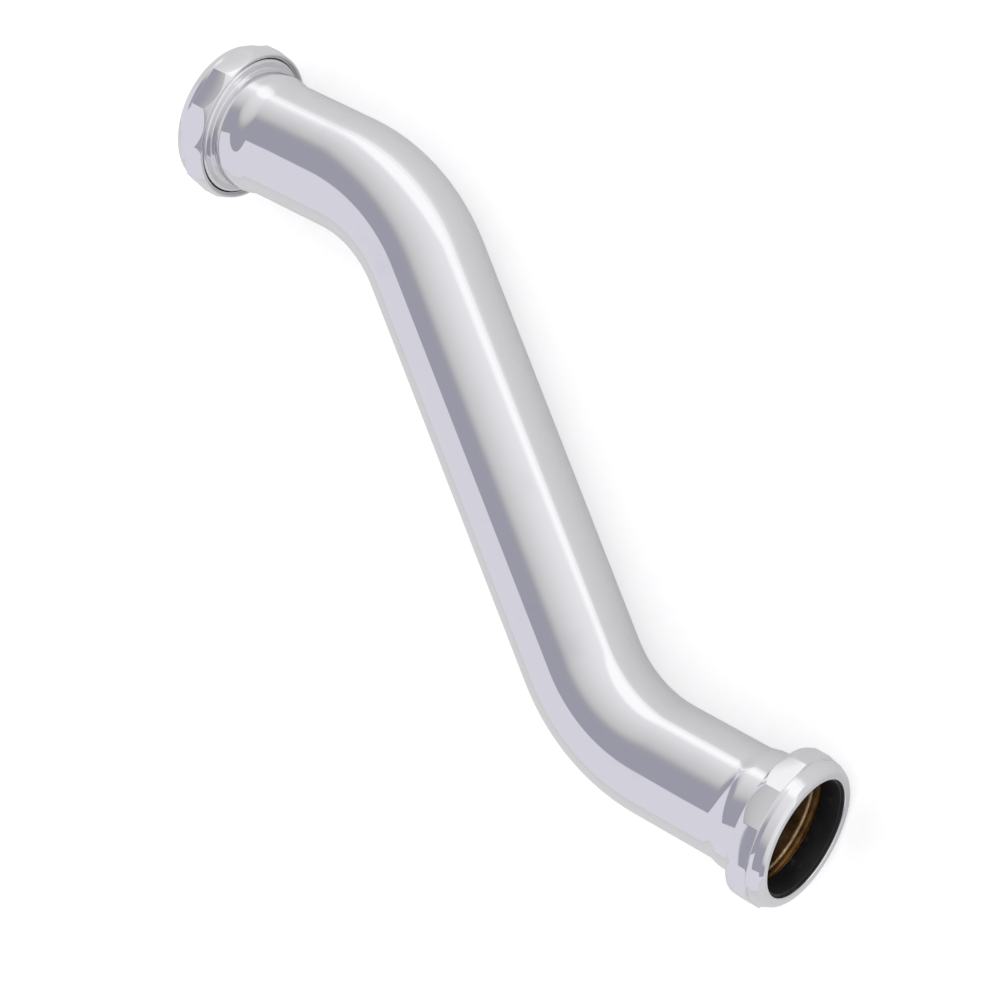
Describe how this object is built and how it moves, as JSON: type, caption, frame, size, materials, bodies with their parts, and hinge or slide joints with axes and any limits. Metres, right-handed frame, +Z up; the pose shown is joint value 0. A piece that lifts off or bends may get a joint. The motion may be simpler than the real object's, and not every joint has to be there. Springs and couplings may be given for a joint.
{
  "type": "double offset drain tube",
  "caption": "Chrome drain tube with parallel offset ends, belled and threaded mouths, loose slip nuts and bevelled rubber slip washers.",
  "frame": {"origin": "on the surface that the tube lies on, under the middle of the S, halfway between its two ends", "axes": "+X runs along both ends, out of the outlet; +Y is the direction in which the inlet is offset; +Z is up, square to the plane of the bends"},
  "size_m": [0.2794, 0.1768, 0.0498],
  "materials": {
    "chrome_plate": "bright chrome plate on brass",
    "bare_brass": "dull unplated brass inside the tube",
    "black_rubber": "matt black moulded rubber"
  },
  "bodies": {
    "tube": {"offset_tube": "chrome_plate"},
    "inlet_washer": {"inlet_washer": "black_rubber"},
    "inlet_nut": {"inlet_nut": "chrome_plate"},
    "outlet_washer": {"outlet_washer": "black_rubber"},
    "outlet_nut": {"outlet_nut": "chrome_plate"}
  },
  "joints": [
    {"name": "inlet_washer_travel", "type": "slide", "parent": "tube", "child": "inlet_washer", "axis": [-1, 0, 0], "range_m": [0, 0.0056]},
    {"name": "inlet_nut_turn", "type": "hinge", "parent": "inlet_washer", "child": "inlet_nut", "pos_m": [-0.13967, 0.0635, 0.0249], "axis": [-1, 0, 0], "range_deg": [0, 900]},
    {"name": "outlet_washer_travel", "type": "slide", "parent": "tube", "child": "outlet_washer", "axis": [1, 0, 0], "range_m": [0, 0.0056]},
    {"name": "outlet_nut_turn", "type": "hinge", "parent": "outlet_washer", "child": "outlet_nut", "pos_m": [0.13967, -0.0635, 0.0249], "axis": [1, 0, 0], "range_deg": [0, 900]}
  ],
  "couplings": [
    {"joint": "inlet_washer_travel", "follows": "inlet_nut_turn", "m_per_rad": 0.00035157},
    {"joint": "outlet_washer_travel", "follows": "outlet_nut_turn", "m_per_rad": 0.00035157}
  ]
}
